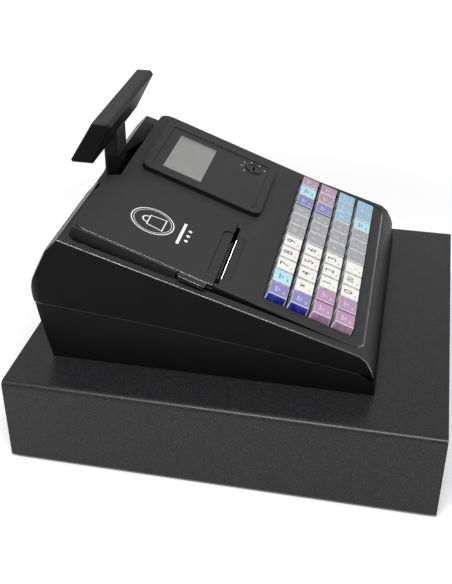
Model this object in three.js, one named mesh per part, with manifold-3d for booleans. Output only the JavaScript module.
// Electronic cash register standing on its cash drawer.
// +X is the operator's right, -Y the operator's side, +Z up; lengths in millimetres.
// The origin is on the table, under the middle of the drawer unit.
import * as THREE from 'three';
import { mergeVertices } from 'three/addons/utils/BufferGeometryUtils.js';
import Module from 'manifold-3d';

const wasm = await Module();
wasm.setup();

// ---------------------------------------------------------------- driving dimensions
const GAP = 0.3;                 // clearance between pieces that touch
const FOOT_HEIGHT = 3;
const FOOT_RADIUS = 9;

// drawer unit, heights measured from the underside of its sheet steel
const HALF_WIDTH = 167;
const HALF_LENGTH = 180;
const UNIT_HEIGHT = 78;
const SHEET = 1.5;
const BEND = 5;
const PAN_HALF_WIDTH = 151.5;
const PAN_FRONT = -174.4;
const PAN_REAR = 128;
const PAN_BOTTOM = 6;
const PAN_TOP = 60;
const RUNNER_Z = 33;
const TILL_HALF_WIDTH = 148.5;
const TILL_FRONT = -150;
const TILL_REAR = 124;
const TILL_TOP = 58;
const TILL_WALL = 3;
const BILL_BAYS = 4;
const COIN_CUPS = 5;
const BAY_SPLIT = -44;           // wall between the coin cups and the bill bays
const LOCK = { x: 118, z: 44 };
const BOLT = { x: -45, y: 152 };

// register case
const CASE_LEFT = -124.3;
const CASE_RIGHT = 139.5;
const CASE_FRONT = -121.9;
const CASE_REAR = 167.3;
const CASE_BOTTOM = UNIT_HEIGHT + GAP;
const CASE_CORNER = 13;           // plan radius of the rear corners
const CASE_NOSE_CORNER = 3;       // and of the front ones
const CASE_STEP = 0.8;            // the lower case stands back from the upper one
const WALL = 2.5;
const RIM_Z = 149.6;             // height of the rim plane over the middle of the drawer
const RIM_RISE = 0.315;
const RIM_FRONT = -100.4;
const RIM_REAR = 137;

// raised deck, a plane tilted towards the operator
const DECK_Z = 156.3;
const DECK_TILT = Math.atan(0.377);
const DECK_LEFT = -115.8;
const DECK_RIGHT = 131;
const DECK_FRONT = -108;
const DECK_REAR = 126;
const DECK_STEP_REAR = 117;      // rear edge of the deck beside the printer cover
const DECK_STEP = { left: -24, right: -15.5 };   // where that edge steps back, in x
const DECK_CORNER = 11;

// printer cover and paper exit, v runs up the deck and h stands square to it
const COVER_RIGHT = -11.5;
const COVER_FRONT = 13.4;
const COVER_THICK = 3.2;
const SLOT_LEFT = -100;
const SLOT_RIGHT = -34;
const SLOT_V = 12;
const PAPER_X = -67;
const ROLL = { y: 78, z: 153, radius: 24, width: 57 };
const PLATEN = { v: 24, h: -10.5, radius: 5 };
const HINGE = { v: 126.5, h: -5, reach: 9.5 };   // axis of the printer cover

// keyboard
const KEY_PITCH_X = 20;
const KEY_PITCH_V = 19.5;
const KEY_COLUMNS = 11;
const KEY_ROWS = 4;
const KEY_MIDDLE = { x: 8, v: -66.2 };
const KEY_BASE = { x: 19.2, v: 17.8 };
const KEY_TOP = { x: 17.2, v: 15.4 };
const KEY_HEIGHT = 6;
const KEY_SKIRT = -3;
const KEY_STEM = -9.5;
const KEY_BOARD = -15;

// operator display
const BEZEL = { left: 9.5, right: 110.5, front: -1.5, rear: 113.5, height: 5.2, corner: 8 };
const LCD = { left: 23, right: 93.5, front: 59.4, rear: 96.8 };
const MODE = { x: 88, v: 20, radius: 8 };

// customer display
const POCKET = { left: -30, right: 123.5, front: 118.5, rear: 135.5, floor: 166 };
const MAST_NOTCH = { left: -17, right: 33, floor: 178 };   // gap in the rear rim
const MAST = { x: 8, y: 127.5, width: 28, depth: 13, foot: 128, shoulder: 214 };
const HEAD = { halfLength: 66, bottom: 228, top: 264.8 };

// ---------------------------------------------------------------- solid helpers
function solid(geometry) {
  const bare = geometry.clone();
  bare.deleteAttribute('normal');
  bare.deleteAttribute('uv');
  const merged = mergeVertices(bare, 1e-4);
  const vertProperties = new Float32Array(merged.attributes.position.array);
  const triVerts = new Uint32Array(merged.index.array);
  return new wasm.Manifold(new wasm.Mesh({ numProp: 3, vertProperties, triVerts }));
}

function join(first, ...others) {
  return others.reduce((sum, piece) => sum.add(piece), first);
}

function cut(first, ...tools) {
  return tools.reduce((rest, tool) => rest.subtract(tool), first);
}

function toGeometry(piece) {
  const mesh = piece.getMesh();
  const geometry = new THREE.BufferGeometry();
  geometry.setAttribute('position', new THREE.BufferAttribute(mesh.vertProperties, 3));
  geometry.setIndex(new THREE.BufferAttribute(mesh.triVerts, 1));
  geometry.computeVertexNormals();
  return geometry;
}

// turns a geometry from the deck's frame (x, v, h) into the drawer's frame
const deckMatrix = new THREE.Matrix4().makeRotationX(DECK_TILT).setPosition(0, 0, DECK_Z);

function blockGeometry(x0, x1, y0, y1, z0, z1) {
  const box = new THREE.BoxGeometry(x1 - x0, y1 - y0, z1 - z0);
  return box.translate((x0 + x1) / 2, (y0 + y1) / 2, (z0 + z1) / 2);
}

function block(x0, x1, y0, y1, z0, z1) {
  return solid(blockGeometry(x0, x1, y0, y1, z0, z1));
}

function deckBlock(x0, x1, v0, v1, h0, h1) {
  return solid(blockGeometry(x0, x1, v0, v1, h0, h1).applyMatrix4(deckMatrix));
}

function fromDeck(piece) {
  return solid(toGeometry(piece).applyMatrix4(deckMatrix));
}

function rodX(radius, x0, x1, y, z, sides = 20) {
  const rod = new THREE.CylinderGeometry(radius, radius, x1 - x0, sides);
  return rod.rotateZ(Math.PI / 2).translate((x0 + x1) / 2, y, z);
}

function rodY(radius, y0, y1, x, z, sides = 20) {
  const rod = new THREE.CylinderGeometry(radius, radius, y1 - y0, sides);
  return rod.translate(x, (y0 + y1) / 2, z);
}

function rodZ(radius, z0, z1, x, y, sides = 20) {
  const rod = new THREE.CylinderGeometry(radius, radius, z1 - z0, sides);
  return rod.rotateX(Math.PI / 2).translate(x, y, (z0 + z1) / 2);
}

function outline(points) {
  return new THREE.Shape(points.map(([a, b]) => new THREE.Vector2(a, b)));
}

function extrude(shape, depth) {
  return new THREE.ExtrudeGeometry(shape, { depth, bevelEnabled: false, curveSegments: 6 });
}

// a side outline of (y, z) points carried across from x0 to x1
function acrossX(shape, x0, x1) {
  const turn = new THREE.Matrix4().makeBasis(
    new THREE.Vector3(0, 1, 0),
    new THREE.Vector3(0, 0, 1),
    new THREE.Vector3(1, 0, 0),
  );
  return extrude(shape, x1 - x0).applyMatrix4(turn).translate(x0, 0, 0);
}

// a front outline of (x, z) points carried from y0 back to y1
function alongY(shape, y0, y1) {
  const turn = new THREE.Matrix4().makeBasis(
    new THREE.Vector3(1, 0, 0),
    new THREE.Vector3(0, 0, 1),
    new THREE.Vector3(0, -1, 0),
  );
  return extrude(shape, y1 - y0).applyMatrix4(turn).translate(0, y1, 0);
}

function roundedPlan(x0, x1, y0, y1, radius) {
  const shape = new THREE.Shape();
  shape.absarc(x0 + radius, y0 + radius, radius, Math.PI, 1.5 * Math.PI);
  shape.absarc(x1 - radius, y0 + radius, radius, 1.5 * Math.PI, 2 * Math.PI);
  shape.absarc(x1 - radius, y1 - radius, radius, 0, 0.5 * Math.PI);
  shape.absarc(x0 + radius, y1 - radius, radius, 0.5 * Math.PI, Math.PI);
  shape.closePath();
  return shape;
}

function roundedBlock(x0, x1, y0, y1, z0, z1, radius) {
  return extrude(roundedPlan(x0, x1, y0, y1, radius), z1 - z0).translate(0, 0, z0);
}

// moves every side of a counter-clockwise outline inwards by a distance
function inset(points, distance) {
  const count = points.length;
  return points.map((point, index) => {
    const before = points[(index + count - 1) % count];
    const after = points[(index + 1) % count];
    const a = new THREE.Vector2(point[0] - before[0], point[1] - before[1]).normalize();
    const b = new THREE.Vector2(after[0] - point[0], after[1] - point[1]).normalize();
    const normal = new THREE.Vector2(-a.y - b.y, a.x + b.x).normalize();
    const stretch = distance / (-a.y * normal.x + a.x * normal.y);
    return [point[0] + normal.x * stretch, point[1] + normal.y * stretch];
  });
}

// ---------------------------------------------------------------- materials
function finish(color, roughness, metalness) {
  return new THREE.MeshStandardMaterial({ color, roughness, metalness });
}

const blackPlastic = finish('#232325', 0.55, 0);
const gloss = finish('#141416', 0.3, 0);
const blackSteel = finish('#2b2b2d', 0.6, 0.3);
const zinc = finish('#a9adb0', 0.4, 0.9);
const darkPlastic = finish('#1b1c1e', 0.6, 0);
const rubber = finish('#1a1a1a', 0.9, 0);
const brass = finish('#b08d4a', 0.4, 0.9);
const board = finish('#1f5a35', 0.6, 0);
const paper = finish('#f2f0ea', 0.9, 0);
const lcdGlass = finish('#8f938c', 0.2, 0);
const clear = finish('#dfe4e6', 0.1, 0);
const whiteKey = finish('#eeece8', 0.3, 0);
const greyKey = finish('#a0a0a3', 0.3, 0);
const mauveKey = finish('#c8a0c8', 0.3, 0);
const blueKey = finish('#a0c3dc', 0.3, 0);

// ---------------------------------------------------------------- assembly groups
const register = new THREE.Group();
const drawerUnit = new THREE.Group();
drawerUnit.position.z = FOOT_HEIGHT;
const deckFrame = new THREE.Group();
deckFrame.position.z = DECK_Z;
deckFrame.rotation.x = DECK_TILT;
drawerUnit.add(deckFrame);
register.add(drawerUnit);

function place(name, piece, material, parent = drawerUnit) {
  const geometry = piece.isBufferGeometry ? piece : toGeometry(piece);
  const mesh = new THREE.Mesh(geometry, material);
  mesh.name = name;
  parent.add(mesh);
}

// ---------------------------------------------------------------- drawer unit
function uSection(halfWidth, top, radius) {
  const shape = new THREE.Shape();
  const inner = radius - SHEET;
  shape.moveTo(halfWidth, 0);
  shape.lineTo(halfWidth, top - radius);
  shape.absarc(halfWidth - radius, top - radius, radius, 0, Math.PI / 2);
  shape.lineTo(radius - halfWidth, top);
  shape.absarc(radius - halfWidth, top - radius, radius, Math.PI / 2, Math.PI);
  shape.lineTo(-halfWidth, 0);
  shape.lineTo(SHEET - halfWidth, 0);
  shape.lineTo(SHEET - halfWidth, top - radius);
  shape.absarc(radius - halfWidth, top - radius, inner, Math.PI, Math.PI / 2, true);
  shape.lineTo(halfWidth - radius, top - SHEET);
  shape.absarc(halfWidth - radius, top - radius, inner, Math.PI / 2, 0, true);
  shape.lineTo(halfWidth - SHEET, 0);
  return shape;
}

function housingCover() {
  const folded = solid(alongY(uSection(HALF_WIDTH, UNIT_HEIGHT, BEND), -HALF_LENGTH, HALF_LENGTH));
  const strikeTop = UNIT_HEIGHT - SHEET / 2;
  const strike = block(LOCK.x - 5, LOCK.x + 5, -164, -162.5, 63, strikeTop);
  return join(folded, strike);
}

// an upright panel outline that fits under the folded top corners
function panelOutline(half, bottom, top) {
  const radius = BEND - SHEET + GAP;
  const shape = new THREE.Shape();
  shape.moveTo(-half, bottom);
  shape.lineTo(half, bottom);
  shape.absarc(half - radius, top - radius, radius, 0, Math.PI / 2);
  shape.absarc(radius - half, top - radius, radius, Math.PI / 2, Math.PI);
  shape.closePath();
  return shape;
}

function housingBase() {
  const half = HALF_WIDTH - SHEET - GAP;
  const rear = HALF_LENGTH - 1.8;
  const plate = block(-half, half, -172, rear, 0, SHEET);
  const left = block(-half, SHEET - half, -172, rear, 0, 14);
  const right = block(half - SHEET, half, -172, rear, 0, 14);
  const upright = panelOutline(half, 0, UNIT_HEIGHT - SHEET - GAP);
  const wall = solid(alongY(upright, rear - SHEET, rear));
  const cableHole = solid(rodY(6, rear - 5, rear + 5, 60, 45));
  return cut(join(plate, left, right, wall), cableHole);
}

function rail(side) {
  const outer = HALF_WIDTH - SHEET - GAP;
  const points = [
    [outer, RUNNER_Z - 9],
    [outer, RUNNER_Z + 9],
    [outer - 11, RUNNER_Z + 9],
    [outer - 11, RUNNER_Z + 9 - SHEET],
    [outer - SHEET, RUNNER_Z + 9 - SHEET],
    [outer - SHEET, RUNNER_Z - 9 + SHEET],
    [outer - 11, RUNNER_Z - 9 + SHEET],
    [outer - 11, RUNNER_Z - 9],
  ].map(([x, z]) => [x * side, z]);
  return alongY(outline(side > 0 ? points : points.reverse()), -165, 172);
}

function cashDrawer() {
  const half = PAN_HALF_WIDTH;
  const outer = block(-half, half, PAN_FRONT, PAN_REAR, PAN_BOTTOM, PAN_TOP);
  const inside = block(
    SHEET - half, half - SHEET, PAN_FRONT + SHEET, PAN_REAR - SHEET, PAN_BOTTOM + SHEET, PAN_TOP + 1,
  );
  const lockHole = solid(rodY(8.4, PAN_FRONT - 1, PAN_FRONT + 4, LOCK.x, LOCK.z));
  const runners = [-1, 1].map((side) => {
    const ends = [side * (half - SHEET / 2), side * (half + 10.8)].sort((a, b) => a - b);
    return block(ends[0], ends[1], -150, PAN_REAR, RUNNER_Z - 0.75, RUNNER_Z + 0.75);
  });
  const catchArm = block(BOLT.x - 9, BOLT.x + 9, PAN_REAR - SHEET / 2, BOLT.y + 9, 28, 30);
  const catchHole = solid(rodZ(4.6, 27, 31, BOLT.x, BOLT.y));
  return cut(join(cut(outer, inside, lockHole), ...runners, catchArm), catchHole);
}

function drawerFront() {
  const half = HALF_WIDTH - SHEET - 1;
  const upright = panelOutline(half, 0.6, UNIT_HEIGHT - SHEET - 0.6);
  const plate = solid(alongY(upright, -178.2, PAN_FRONT - GAP));
  return cut(plate, solid(rodY(8.4, -180, -170, LOCK.x, LOCK.z)));
}

function coinCupOutline() {
  const front = TILL_FRONT + TILL_WALL;
  const rear = BAY_SPLIT - TILL_WALL;
  const shape = new THREE.Shape();
  shape.moveTo(front, TILL_TOP + 1);
  shape.lineTo(front, 42);
  shape.lineTo(front + 30, 12);
  shape.lineTo(rear - 16, 12);
  shape.lineTo(rear, 28);
  shape.lineTo(rear, TILL_TOP + 1);
  return shape;
}

function cellEdges(count, index) {
  const pitch = (2 * TILL_HALF_WIDTH - TILL_WALL) / count;
  const left = TILL_WALL - TILL_HALF_WIDTH + index * pitch;
  return [left, left + pitch - TILL_WALL];
}

function clipX(index) {
  const [left, right] = cellEdges(BILL_BAYS, index);
  return (left + right) / 2;
}

const CLIP_Y = 116;
const CLIP_Z = 51;

function tillInsert() {
  let tray = block(
    -TILL_HALF_WIDTH, TILL_HALF_WIDTH, TILL_FRONT, TILL_REAR, PAN_BOTTOM + SHEET + GAP, TILL_TOP,
  );
  for (let cup = 0; cup < COIN_CUPS; cup += 1) {
    const [left, right] = cellEdges(COIN_CUPS, cup);
    tray = cut(tray, solid(acrossX(coinCupOutline(), left, right)));
  }
  for (let bay = 0; bay < BILL_BAYS; bay += 1) {
    const [left, right] = cellEdges(BILL_BAYS, bay);
    tray = cut(tray, block(left, right, BAY_SPLIT, TILL_REAR - TILL_WALL, 11, TILL_TOP + 1));
  }
  const dip = TILL_TOP - 16;
  tray = cut(tray, block(-TILL_HALF_WIDTH + 1.4, TILL_HALF_WIDTH - 1.4, -43.9, 60, dip, TILL_TOP + 1));
  for (let bay = 0; bay < BILL_BAYS; bay += 1) {
    for (const side of [-1, 1]) {
      const middle = clipX(bay) + side * 11;
      const lug = block(middle - 1.5, middle + 1.5, CLIP_Y - 5, TILL_REAR - 1, CLIP_Z - 6, CLIP_Z + 5);
      const bore = solid(rodX(2.1, middle - 3, middle + 3, CLIP_Y, CLIP_Z, 12));
      tray = join(tray, cut(lug, bore));
    }
  }
  return tray;
}

function billClip(index) {
  const x = clipX(index);
  const arm = outline([
    [CLIP_Y, CLIP_Z - 1.5],
    [CLIP_Y, CLIP_Z + 1],
    [62, 23],
    [48, 16],
    [38, 19],
    [37, 17.4],
    [48, 13.6],
    [63, 20.6],
  ]);
  const blade = solid(acrossX(arm, x - 8, x + 8));
  const barrel = solid(rodX(3.4, x - 8.9, x + 8.9, CLIP_Y, CLIP_Z, 16));
  const pin = solid(rodX(1.7, x - 13, x + 13, CLIP_Y, CLIP_Z, 12));
  return join(blade, barrel, pin);
}

function lockBarrel() {
  const body = solid(rodY(8, -179, -165, LOCK.x, LOCK.z, 24));
  const flange = solid(rodY(10.5, -179.8, -178.4, LOCK.x, LOCK.z, 24));
  const bore = solid(rodY(5.4, -181, -160, LOCK.x, LOCK.z, 24));
  return cut(join(body, flange), bore);
}

function lockPlug() {
  const body = solid(rodY(5, -179.6, -158, LOCK.x, LOCK.z, 24));
  const keyway = block(LOCK.x - 0.8, LOCK.x + 0.8, -181, -172, LOCK.z - 3.4, LOCK.z + 3.4);
  const cam = block(LOCK.x - 25, LOCK.x + 6, -160.5, -158.5, LOCK.z - 6, LOCK.z + 6);
  return join(cut(body, keyway), cam);
}

function solenoid() {
  const body = block(BOLT.x - 14, BOLT.x + 14, BOLT.y - 11, BOLT.y + 11, SHEET + GAP, 24);
  return cut(body, solid(rodZ(4.4, 6, 30, BOLT.x, BOLT.y)));
}

function latchBolt() {
  return rodZ(4, 9, 27.2, BOLT.x, BOLT.y);
}

class Helix extends THREE.Curve {
  constructor(radius, length, turns, startY) {
    super();
    Object.assign(this, { radius, length, turns, startY });
  }

  getPoint(t) {
    const angle = 2 * Math.PI * this.turns * t;
    return new THREE.Vector3(
      this.radius * Math.cos(angle),
      this.startY + this.length * t,
      RUNNER_Z + this.radius * Math.sin(angle),
    );
  }
}

function kickSpring() {
  const wire = new THREE.Shape();
  wire.absarc(0, 0, 0.9, 0, 2 * Math.PI);
  const path = new Helix(8, 45, 6, PAN_REAR + 1.6);
  return new THREE.ExtrudeGeometry(wire, { extrudePath: path, steps: 66, curveSegments: 3 });
}

function drawerParts() {
  place('housing_cover', housingCover(), blackSteel);
  place('housing_base', housingBase(), blackSteel);
  place('rail_left', rail(-1), zinc);
  place('rail_right', rail(1), zinc);
  place('cash_drawer', cashDrawer(), blackSteel);
  place('drawer_front', drawerFront(), blackSteel);
  place('till_insert', tillInsert(), darkPlastic);
  for (let index = 0; index < BILL_BAYS; index += 1) {
    place(`bill_clip_${index + 1}`, billClip(index), blackPlastic);
  }
  place('lock_barrel', lockBarrel(), zinc);
  place('lock_plug', lockPlug(), brass);
  place('latch_solenoid', solenoid(), zinc);
  place('latch_bolt', latchBolt(), zinc);
  place('kick_spring', kickSpring(), zinc);
  for (const [side, x] of [['left', -140], ['right', 140]]) {
    for (const [end, y] of [['front', -150], ['rear', 150]]) {
      place(`foot_${end}_${side}`, rodZ(FOOT_RADIUS, -FOOT_HEIGHT, 0, x, y, 24), rubber);
    }
  }
}

// ---------------------------------------------------------------- register case
function rimHeight(y) {
  return RIM_Z + RIM_RISE * y;
}

function partingHeight(y) {
  return 113.7 + 0.131 * y - 0.00017 * y * y;
}

const sideOutline = [
  [CASE_FRONT, CASE_BOTTOM],
  [150.9, CASE_BOTTOM],
  [163.1, 130],
  [CASE_REAR, 137.6],
  [162.7, 151.5],
  [147.4, 181.7],
  [RIM_REAR, rimHeight(RIM_REAR)],
  [RIM_FRONT, rimHeight(RIM_FRONT)],
  [-107, 115.6],
  [-112.5, 111],
  [-117, 102.5],
  [-120.6, 90],
];

function casePlan(shrink) {
  const left = CASE_LEFT + shrink;
  const right = CASE_RIGHT - shrink;
  const front = CASE_FRONT + shrink;
  const rear = CASE_REAR - shrink;
  const nose = Math.max(CASE_NOSE_CORNER - shrink, 0.4);
  const tail = CASE_CORNER - shrink;
  const shape = new THREE.Shape();
  shape.absarc(left + nose, front + nose, nose, Math.PI, 1.5 * Math.PI);
  shape.absarc(right - nose, front + nose, nose, 1.5 * Math.PI, 2 * Math.PI);
  shape.absarc(right - tail, rear - tail, tail, 0, 0.5 * Math.PI);
  shape.absarc(left + tail, rear - tail, tail, 0.5 * Math.PI, Math.PI);
  shape.closePath();
  return shape;
}

function caseBody(shrink, drop = 0) {
  const points = shrink > 0 ? inset(sideOutline, shrink) : sideOutline;
  const profile = acrossX(outline(points), CASE_LEFT + shrink, CASE_RIGHT - shrink);
  const side = solid(profile.translate(0, 0, -drop));
  return side.intersect(solid(extrude(casePlan(shrink), 300)));
}

// everything under the parting line, which runs up to the rear in a slight arc
function belowParting(lift) {
  const points = [[-140, 0], [190, 0]];
  for (let y = 190; y >= -140; y -= 33) {
    points.push([y, partingHeight(y) + lift]);
  }
  return solid(acrossX(outline(points), CASE_LEFT - 5, CASE_RIGHT + 5));
}

function lowerCase() {
  const shell = cut(caseBody(CASE_STEP, CASE_STEP), caseBody(CASE_STEP + WALL, CASE_STEP));
  const jackHole = block(88, 104, 140, 175, 92, 104);
  return cut(shell.intersect(belowParting(-GAP / 2)), jackHole);
}

function deckBody(shrink) {
  const tan = Math.tan(DECK_TILT);
  const low = 22;
  const points = [
    [DECK_FRONT, DECK_Z + tan * DECK_FRONT - shrink * 1.07],
    [DECK_FRONT, DECK_Z + tan * DECK_FRONT - low],
    [DECK_REAR, DECK_Z + tan * DECK_REAR - low],
    [DECK_REAR, DECK_Z + tan * DECK_REAR - shrink * 1.07],
  ];
  const side = solid(acrossX(outline(points), DECK_LEFT - 2, DECK_RIGHT + 2));
  const plan = solid(roundedBlock(
    DECK_LEFT + shrink, DECK_RIGHT - shrink, DECK_FRONT + shrink, DECK_REAR - shrink,
    0, 300, DECK_CORNER - shrink,
  ));
  const displayPlan = solid(roundedBlock(
    DECK_LEFT, DECK_RIGHT - shrink, DECK_FRONT, DECK_STEP_REAR - shrink, 0, 300, DECK_CORNER - shrink,
  ));
  const printerPlan = block(
    DECK_LEFT - 9, DECK_STEP.right, DECK_FRONT - 9, DECK_REAR + 9, 0, 300,
  );
  const step = outline([
    [DECK_STEP.left, DECK_REAR + 9],
    [DECK_STEP.left, DECK_REAR - shrink],
    [DECK_STEP.right, DECK_STEP_REAR - shrink],
    [DECK_RIGHT, DECK_STEP_REAR - shrink],
    [DECK_RIGHT, DECK_REAR + 9],
  ]);
  const whole = side.intersect(plan).intersect(join(displayPlan, printerPlan));
  return cut(whole, solid(extrude(step, 300)));
}

function keyboardOpening() {
  const halfX = (KEY_COLUMNS * KEY_PITCH_X) / 2 + 0.4;
  const halfV = (KEY_ROWS * KEY_PITCH_V) / 2;
  return deckBlock(
    KEY_MIDDLE.x - halfX, KEY_MIDDLE.x + halfX, KEY_MIDDLE.v - halfV, KEY_MIDDLE.v + halfV, -20, 20,
  );
}

function pocketWalls() {
  const outer = block(
    POCKET.left - WALL, POCKET.right + WALL, POCKET.front - WALL, 150, POCKET.floor - WALL, 200,
  );
  return outer.intersect(join(caseBody(0), deckBody(0)));
}

function pocketSpace() {
  const well = block(POCKET.left, POCKET.right, POCKET.front, POCKET.rear, POCKET.floor, 230);
  const half = { x: MAST.width / 2 + 0.8, y: MAST.depth / 2 + 0.8 };
  const mastHole = block(
    MAST.x - half.x, MAST.x + half.x, MAST.y - half.y, MAST.y + half.y, POCKET.floor - 9, 200,
  );
  const notch = block(
    MAST_NOTCH.left, MAST_NOTCH.right, POCKET.rear - 1, CASE_REAR, MAST_NOTCH.floor, 230,
  );
  return join(well, mastHole, notch);
}

const coverRear = DECK_REAR / Math.cos(DECK_TILT);

// the round zone behind the cover in which its rear cap turns
function capZone(radius, x0, x1) {
  return solid(rodX(radius, x0, x1, HINGE.v, HINGE.h, 48).applyMatrix4(deckMatrix));
}

// the sunken frame that the closed printer cover lies on
function coverSeatFrame() {
  const low = -COVER_THICK - GAP - WALL;
  const plate = deckBlock(DECK_LEFT - 9, COVER_RIGHT + WALL, SLOT_V - 7, coverRear - 24, low, 0);
  return plate.intersect(deckBody(0));
}

function paperDish() {
  const bowl = roundedBlock(SLOT_LEFT - 4, SLOT_RIGHT + 5, SLOT_V - 10, SLOT_V + 10, -1.4, 4, 6);
  return solid(bowl.applyMatrix4(deckMatrix));
}

function upperCase() {
  const outside = join(caseBody(0), deckBody(0));
  const hollow = join(caseBody(WALL), deckBody(WALL));
  const shell = join(cut(outside, hollow), pocketWalls(), coverSeatFrame());
  const coverSeat = deckBlock(
    DECK_LEFT - 9, COVER_RIGHT + GAP, COVER_FRONT - GAP, coverRear + 20, -COVER_THICK - GAP, 20,
  );
  const paperWell = deckBlock(-111, -17, SLOT_V - 2, coverRear - 20, -24, 10);
  const slot = deckBlock(SLOT_LEFT, SLOT_RIGHT, SLOT_V - 3.9, SLOT_V + 2, -20, 10);
  const bezelWell = deckBlock(
    BEZEL.left + 5, BEZEL.right - 5, BEZEL.front + 5, BEZEL.rear - 5, -20, 10,
  );
  return cut(
    shell, belowParting(GAP / 2), pocketSpace(), coverSeat, paperWell, bezelWell,
    keyboardOpening(), paperDish(), slot, capZone(HINGE.reach + GAP, DECK_LEFT, COVER_RIGHT + GAP),
  );
}

// ---------------------------------------------------------------- printer
function coverPlate() {
  const plate = roundedBlock(
    DECK_LEFT, COVER_RIGHT, COVER_FRONT, coverRear - GAP, -COVER_THICK, 0, 1,
  );
  const tab = roundedBlock(DECK_LEFT - 6.5, DECK_LEFT + 6, 19, 42, -COVER_THICK, -0.6, 2);
  const notch = extrude(outline([
    [-24.5, coverRear + 1],
    [-24.5, coverRear - 0.4],
    [-15.5, coverRear - 10],
    [COVER_RIGHT + 1, coverRear - 10],
    [COVER_RIGHT + 1, coverRear + 1],
  ]), 8).translate(0, 0, -5);
  const corner = roundedBlock(
    DECK_LEFT, 60, COVER_FRONT - 30, coverRear - GAP, -9, 9, DECK_CORNER,
  );
  const dish = roundedBlock(
    SLOT_LEFT - 4, SLOT_RIGHT + 5, SLOT_V - 10, SLOT_V + 10, -1.4, 4, 6,
  );
  return cut(join(solid(plate).intersect(solid(corner)), solid(tab)), solid(notch), solid(dish));
}

// an ear under the cover, bored for a shaft that runs across
function coverEar(middle, v, h, bore) {
  const ear = block(middle - 1.5, middle + 1.5, v - 4.5, v + 4.5, h - 4, -COVER_THICK + 1);
  return cut(ear, solid(rodX(bore, middle - 3, middle + 3, v, h, 12)));
}

// the rear rim of the cover, which turns into the case as the cover opens
function rearCap() {
  const wall = cut(deckBody(0), deckBody(WALL - GAP));
  const below = deckBlock(DECK_LEFT - 5, COVER_RIGHT, 90, 150, -30, 0.5 - COVER_THICK);
  return wall.intersect(capZone(HINGE.reach, DECK_LEFT - 5, COVER_RIGHT)).intersect(below);
}

function printerCover() {
  const ears = [-35, 35].map((side) => coverEar(PAPER_X + side, PLATEN.v, PLATEN.h, 2.3));
  const hinges = [-39.5, 37.5].map((side) => coverEar(PAPER_X + side, HINGE.v, HINGE.h, 1.5));
  const recesses = [-31.5, 31.5].map((side) => block(
    PAPER_X + side - 2.5, PAPER_X + side + 2.5, HINGE.v - 7, HINGE.v + 5, -9, -1.8,
  ));
  const plate = cut(coverPlate(), ...recesses);
  return join(fromDeck(join(plate, ...ears, ...hinges)), rearCap());
}

function toothedDisc(radius, teeth, width, bore) {
  const shape = new THREE.Shape();
  const pitch = (2 * Math.PI) / teeth;
  for (let tooth = 0; tooth < teeth; tooth += 1) {
    const start = tooth * pitch;
    const corners = [[0, radius - 1], [0.3, radius], [0.6, radius], [0.9, radius - 1]];
    corners.forEach(([part, reach], index) => {
      const x = reach * Math.cos(start + part * pitch);
      const y = reach * Math.sin(start + part * pitch);
      if (tooth + index === 0) {
        shape.moveTo(x, y);
      } else {
        shape.lineTo(x, y);
      }
    });
  }
  const hole = new THREE.Path();
  hole.absarc(0, 0, bore, 0, 2 * Math.PI);
  shape.holes.push(hole);
  return extrude(shape, width).rotateY(Math.PI / 2);
}

function platenRoller() {
  const sleeve = solid(rodX(PLATEN.radius, PAPER_X - 30, PAPER_X + 30, PLATEN.v, PLATEN.h, 24));
  const shaft = solid(rodX(2, PAPER_X - 39, PAPER_X + 41, PLATEN.v, PLATEN.h, 16));
  return join(sleeve, shaft);
}

const GEAR_X = PAPER_X + 38;
const PINION = { v: PLATEN.v + 8.6, h: PLATEN.h - 6.4 };

function paperRoll() {
  const { y, z, radius, width } = ROLL;
  const left = PAPER_X - width / 2;
  const roll = solid(rodX(radius, left, left + width, y, z, 40));
  return cut(roll, solid(rodX(6, left - 1, left + width + 1, y, z, 20)));
}

function printerFrame() {
  const left = PAPER_X - 33;
  const right = PAPER_X + 33;
  const cradle = solid(rodX(ROLL.radius + 5, left, right, ROLL.y, ROLL.z, 32));
  const space = solid(rodX(ROLL.radius + 3, left + 2, right - 2, ROLL.y, ROLL.z, 32));
  const upper = block(left - 1, right + 1, ROLL.y - 40, ROLL.y + 40, ROLL.z - 2, ROLL.z + 60);
  const bucket = cut(cradle, space, upper);
  const bridge = block(left, right, 30, ROLL.y - ROLL.radius, ROLL.z - 16, ROLL.z - 12);
  const stand = block(left, right, 30, 34, CASE_BOTTOM + WALL + GAP, ROLL.z - 12);
  const post = block(left, right, 100, 104, CASE_BOTTOM + WALL + GAP, ROLL.z - 2);
  return join(bucket, cut(join(bridge, stand, post), space), hingeArm(left), hingeArm(right - 3));
}

// carries the cover's hinge rod behind the paper roll
function hingeArm(x) {
  const rod = new THREE.Vector3(0, HINGE.v, HINGE.h).applyMatrix4(deckMatrix);
  const arm = outline([
    [99, 136],
    [105, 136],
    [rod.y - 8.5, rod.z - 6.2],
    [rod.y + 1, rod.z - 2.4],
    [rod.y + 2.6, rod.z],
    [rod.y + 1, rod.z + 2.4],
    [rod.y - 1.5, rod.z + 2.2],
    [rod.y - 10, rod.z - 3.6],
  ]);
  return cut(solid(acrossX(arm, x, x + 3)), solid(rodX(1.5, x - 1, x + 4, rod.y, rod.z, 12)));
}

function printHead() {
  return block(PAPER_X - 30, PAPER_X + 30, 12.5, 15, 138, 156);
}

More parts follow.
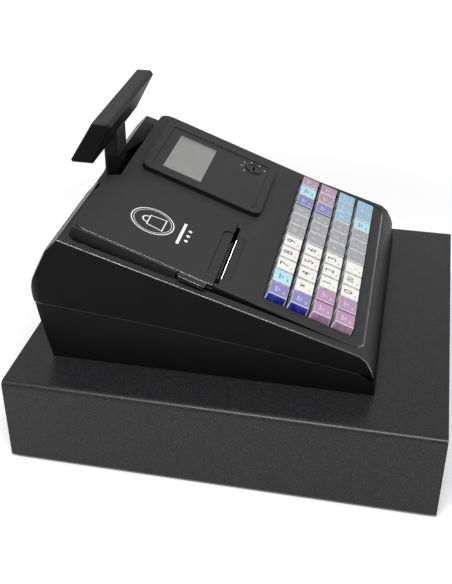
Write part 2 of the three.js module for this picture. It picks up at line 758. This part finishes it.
function printerParts() {
  place('printer_cover', printerCover(), blackPlastic);
  const rod = rodX(1.2, PAPER_X - 42, PAPER_X + 40, HINGE.v, HINGE.h, 16);
  place('cover_hinge_rod', rod, zinc, deckFrame);
  const bar = block(SLOT_LEFT + 0.5, SLOT_RIGHT - 0.5, SLOT_V - 3.6, SLOT_V - 2.4, -6, -0.4);
  place('tear_bar', bar, zinc, deckFrame);
  place('printer_frame', printerFrame(), darkPlastic);
  place('print_head', printHead(), zinc);
  place('paper_roll', paperRoll(), paper);
  place('platen_roller', platenRoller(), rubber, deckFrame);
  const gear = toothedDisc(6.5, 16, 3, 2.3).translate(GEAR_X, PLATEN.v, PLATEN.h);
  place('platen_gear', gear, darkPlastic, deckFrame);
  const pinion = toothedDisc(4, 10, 3, 1.3).translate(GEAR_X, PINION.v, PINION.h);
  place('motor_pinion', pinion, brass, deckFrame);
  const can = solid(rodX(9, GEAR_X + 4, GEAR_X + 18, PINION.v, PINION.h, 24));
  const spindle = solid(rodX(1, GEAR_X - 0.5, GEAR_X + 5, PINION.v, PINION.h, 12));
  place('feed_motor', join(can, spindle), zinc, deckFrame);
}

// ---------------------------------------------------------------- keyboard
function keyCentre(column, row) {
  return {
    x: KEY_MIDDLE.x + (column - (KEY_COLUMNS - 1) / 2) * KEY_PITCH_X,
    v: KEY_MIDDLE.v + ((KEY_ROWS - 1) / 2 - row) * KEY_PITCH_V,
  };
}

// a cap that narrows upwards, with a guide stem under it
function keyCap(column, row, span = 1) {
  const { x, v } = keyCentre(column + (span - 1) / 2, row);
  const extra = (span - 1) * KEY_PITCH_X;
  const height = KEY_HEIGHT - KEY_SKIRT;
  const cap = new THREE.BoxGeometry(KEY_BASE.x + extra, KEY_BASE.v, height);
  const position = cap.attributes.position;
  for (let index = 0; index < position.count; index += 1) {
    if (position.getZ(index) > 0) {
      const wide = Math.sign(position.getX(index)) * (KEY_TOP.x + extra);
      position.setXY(index, wide / 2, (Math.sign(position.getY(index)) * KEY_TOP.v) / 2);
    }
  }
  cap.translate(x, v, (KEY_HEIGHT + KEY_SKIRT) / 2);
  const stem = block(x - 3, x + 3, v - 3, v + 3, KEY_STEM, KEY_SKIRT + 1);
  return join(solid(cap), stem);
}

// keys that share one carrier bar under the deck
function keyBank(cells) {
  const caps = cells.map(([column, row]) => keyCap(column, row));
  const bars = [];
  for (const [column, row] of cells) {
    for (const [nextColumn, nextRow] of cells) {
      const beside = nextColumn === column + 1 && nextRow === row;
      const ahead = nextRow === row + 1 && nextColumn === column;
      if (beside || ahead) {
        const from = keyCentre(column, row);
        const to = keyCentre(nextColumn, nextRow);
        bars.push(block(from.x - 2, to.x + 2, to.v - 2, from.v + 2, -6.5, -4.5));
      }
    }
  }
  return join(...caps, ...bars);
}

function cells(columns, rows) {
  return rows.flatMap((row) => columns.map((column) => [column, row]));
}

const digitKeys = {
  key_7: [2, 0], key_8: [3, 0], key_9: [4, 0],
  key_multiply: [1, 1], key_4: [2, 1], key_5: [3, 1], key_6: [4, 1],
  key_1: [2, 2], key_2: [3, 2], key_3: [4, 2],
  key_0: [2, 3], key_00: [3, 3], key_point: [4, 3],
};

function keyboardParts() {
  for (const [name, [column, row]] of Object.entries(digitKeys)) {
    place(name, keyCap(column, row), whiteKey, deckFrame);
  }
  const functionCells = [...cells([0, 1], [0, 2, 3]), [0, 1]];
  place('function_keys', keyBank(functionCells), mauveKey, deckFrame);
  place('department_keys', keyBank(cells([5, 6, 7], [0, 1, 2, 3])), greyKey, deckFrame);
  const paymentCells = [...cells([8, 9, 10], [0, 1, 2]), [8, 3]];
  place('payment_keys', keyBank(paymentCells), blueKey, deckFrame);
  place('key_total', keyCap(9, 3, 2), blueKey, deckFrame);
  const half = { x: 116, v: 43 };
  const plate = block(
    KEY_MIDDLE.x - half.x, KEY_MIDDLE.x + half.x, KEY_MIDDLE.v - half.v + 4, KEY_MIDDLE.v + half.v,
    KEY_BOARD, KEY_BOARD + 1.6,
  );
  place('key_switch_board', plate, board, deckFrame);
}

// ---------------------------------------------------------------- operator display
function displayBezel() {
  const { left, right, front, rear, height, corner } = BEZEL;
  const outer = solid(roundedBlock(left, right, front, rear, GAP, height, corner));
  const inner = solid(roundedBlock(
    left + WALL, right - WALL, front + WALL, rear - WALL, -1, height - WALL, corner - WALL,
  ));
  const window = block(LCD.left, LCD.right, LCD.front, LCD.rear, -1, height + 1);
  const lockBore = solid(rodZ(MODE.radius + GAP, -1, height + 1, MODE.x, MODE.v, 28));
  return cut(outer, inner, window, lockBore);
}

function modeRotor() {
  const body = solid(rodZ(MODE.radius, -14, BEZEL.height + 0.6, MODE.x, MODE.v, 28));
  const keyway = block(
    MODE.x - 4, MODE.x + 4, MODE.v - 0.9, MODE.v + 0.9, BEZEL.height - 6, BEZEL.height + 2,
  );
  return cut(body, keyway);
}

function displayParts() {
  place('display_bezel', displayBezel(), blackPlastic, deckFrame);
  const pane = block(
    LCD.left - 3, LCD.right + 3, LCD.front - 3, LCD.rear + 3,
    BEZEL.height - WALL - 1.8, BEZEL.height - WALL - GAP,
  );
  place('lcd_window', pane, clear, deckFrame);
  const panel = block(
    LCD.left - 3, LCD.right + 3, LCD.front - 5, LCD.rear + 5, BEZEL.height - 9.8, BEZEL.height - 4.8,
  );
  place('lcd_panel', panel, lcdGlass, deckFrame);
  place('mode_rotor', modeRotor(), gloss, deckFrame);
}

// ---------------------------------------------------------------- customer display
const headOutline = [
  [126, HEAD.bottom],
  [144, HEAD.bottom],
  [145, HEAD.bottom + 2],
  [123.6, HEAD.top],
  [111, HEAD.top],
  [108.4, HEAD.top - 3.5],
];

function displayMast() {
  const halfX = MAST.width / 2;
  const halfY = MAST.depth / 2;
  const post = roundedBlock(
    MAST.x - halfX, MAST.x + halfX, MAST.y - halfY, MAST.y + halfY, MAST.foot, MAST.shoulder, 3,
  );
  const spigot = rodZ(4.5, MAST.shoulder - 2, MAST.shoulder + 12, MAST.x, MAST.y);
  return join(solid(post), solid(spigot));
}

function displayHead() {
  const half = HEAD.halfLength;
  const left = MAST.x - half;
  const right = MAST.x + half;
  const body = solid(acrossX(outline(headOutline), left, right));
  const bay = outline([
    [134.4, HEAD.bottom + 4],
    [147, HEAD.bottom + 4],
    [126, HEAD.top - 3],
    [118.6, HEAD.top - 3],
  ]);
  const space = solid(acrossX(bay, left + 5, right - 5));
  const neck = solid(roundedBlock(
    MAST.x - MAST.width / 2, MAST.x + MAST.width / 2, MAST.y - MAST.depth / 2,
    MAST.y + MAST.depth / 2, MAST.shoulder + 0.4, 240, 3,
  ));
  const bore = solid(rodZ(5, MAST.shoulder - 1, MAST.shoulder + 13, MAST.x, MAST.y));
  return cut(join(body, neck), space, bore);
}

function headWindow() {
  const { halfLength, bottom, top } = HEAD;
  const slope = (145 - 123.6) / (top - bottom - 2);
  const face = (z) => 145 - slope * (z - bottom - 2);
  const low = bottom + 4.5;
  const high = top - 3.5;
  const pane = outline([
    [face(low) - 3, low],
    [face(low) - 0.4, low],
    [face(high) - 0.4, high],
    [face(high) - 3, high],
  ]);
  return acrossX(pane, MAST.x - halfLength + 5.5, MAST.x + halfLength - 5.5);
}

function customerDisplayParts() {
  place('display_mast', displayMast(), blackPlastic);
  place('display_head', displayHead(), blackPlastic);
  place('display_head_window', headWindow(), gloss);
}

// ---------------------------------------------------------------- inside the case
function insideParts() {
  const floor = CASE_BOTTOM + WALL;
  place('main_board', block(-90, 70, -95, 20, floor + 5, floor + 6.6), board);
  place('transformer', block(60, 112, 60, 112, floor + GAP, floor + 42), zinc);
  place('power_jack', block(89, 103, 128, 151, 93, 103), darkPlastic);
}

drawerParts();
place('lower_case', lowerCase(), blackPlastic);
place('upper_case', upperCase(), blackPlastic);
printerParts();
keyboardParts();
displayParts();
customerDisplayParts();
insideParts();

export default register;
